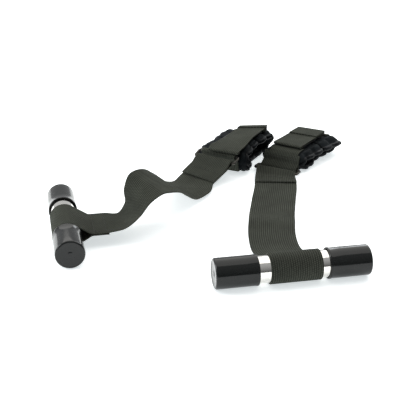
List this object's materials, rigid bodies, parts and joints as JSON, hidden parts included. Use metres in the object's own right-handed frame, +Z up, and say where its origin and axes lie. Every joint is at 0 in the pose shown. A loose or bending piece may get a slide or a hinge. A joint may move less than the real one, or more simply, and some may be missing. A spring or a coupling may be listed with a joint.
{
  "type": "exercise strap pair",
  "caption": "Pair of exercise straps, each a chrome T-bar handle in a black webbing strap that leads through a metal ring to a padded wrist cuff with a hook-and-loop flap.",
  "frame": {"origin": "middle of the pair's footprint, on the surface that it lies on", "axes": "+Z up, +Y from the bars towards the cuffs, +X to the right as seen from the bars"},
  "size_m": [0.3345, 0.4015, 0.0545],
  "materials": {
    "chrome": "bright chrome-plated steel tube, polished",
    "ring_steel": "dark nickel-plated steel wire, satin",
    "cap_vinyl": "glossy black dipped vinyl with a moulded lip",
    "webbing": "dark charcoal ribbed polypropylene webbing",
    "thread": "black bonded nylon thread",
    "cover_fabric": "black brushed nylon knit with a faint blue sheen",
    "foam": "dark grey closed-cell foam",
    "lining_fabric": "black soft loop-knit lining",
    "binding_tape": "black satin edge binding",
    "pile_tape": "black brushed loop tape",
    "hook_tape": "black hook tape"
  },
  "bodies": {
    "straps": {"left_strap_webbing": "webbing", "left_loop_stitching": "thread", "left_fold_stitching": "thread", "left_ring": "ring_steel", "left_ring_tab": "webbing", "left_cuff_cover": "cover_fabric", "left_cuff_foam": "foam", "left_cuff_lining": "lining_fabric", "left_cuff_binding_l": "binding_tape", "left_cuff_binding_r": "binding_tape", "left_cuff_band": "webbing", "left_cuff_pile": "pile_tape", "left_flap_anchor": "webbing", "right_strap_webbing": "webbing", "right_loop_stitching": "thread", "right_fold_stitching": "thread", "right_ring": "ring_steel", "right_ring_tab": "webbing", "right_cuff_cover": "cover_fabric", "right_cuff_foam": "foam", "right_cuff_lining": "lining_fabric", "right_cuff_binding_l": "binding_tape", "right_cuff_binding_r": "binding_tape", "right_cuff_band": "webbing", "right_cuff_pile": "pile_tape", "right_flap_anchor": "webbing"},
    "left_bar": {"left_bar_tube": "chrome", "left_bar_cap_a": "cap_vinyl", "left_bar_cap_b": "cap_vinyl"},
    "left_closure": {"left_flap": "webbing", "left_flap_hook": "hook_tape"},
    "right_bar": {"right_bar_tube": "chrome", "right_bar_cap_a": "cap_vinyl", "right_bar_cap_b": "cap_vinyl"},
    "right_closure": {"right_flap": "webbing", "right_flap_hook": "hook_tape"}
  },
  "joints": [
    {"name": "left_bar_spin", "type": "hinge", "parent": "straps", "child": "left_bar", "pos_m": [-0.1368, -0.0865, 0.0146], "axis": [-0.2096, 0.9778, 0], "continuous": true},
    {"name": "left_flap_peel", "type": "hinge", "parent": "straps", "child": "left_closure", "pos_m": [0.05545, 0.15402, 0.0341], "axis": [-0.8988, 0.4384, 0], "range_deg": [0, 150]},
    {"name": "right_bar_spin", "type": "hinge", "parent": "straps", "child": "right_bar", "pos_m": [0.0817, -0.1722, 0.0146], "axis": [-0.9799, -0.1994, 0], "continuous": true},
    {"name": "right_flap_peel", "type": "hinge", "parent": "straps", "child": "right_closure", "pos_m": [0.12722, 0.16322, 0.0281], "axis": [-0.8387, 0.5446, 0], "range_deg": [0, 150]}
  ]
}
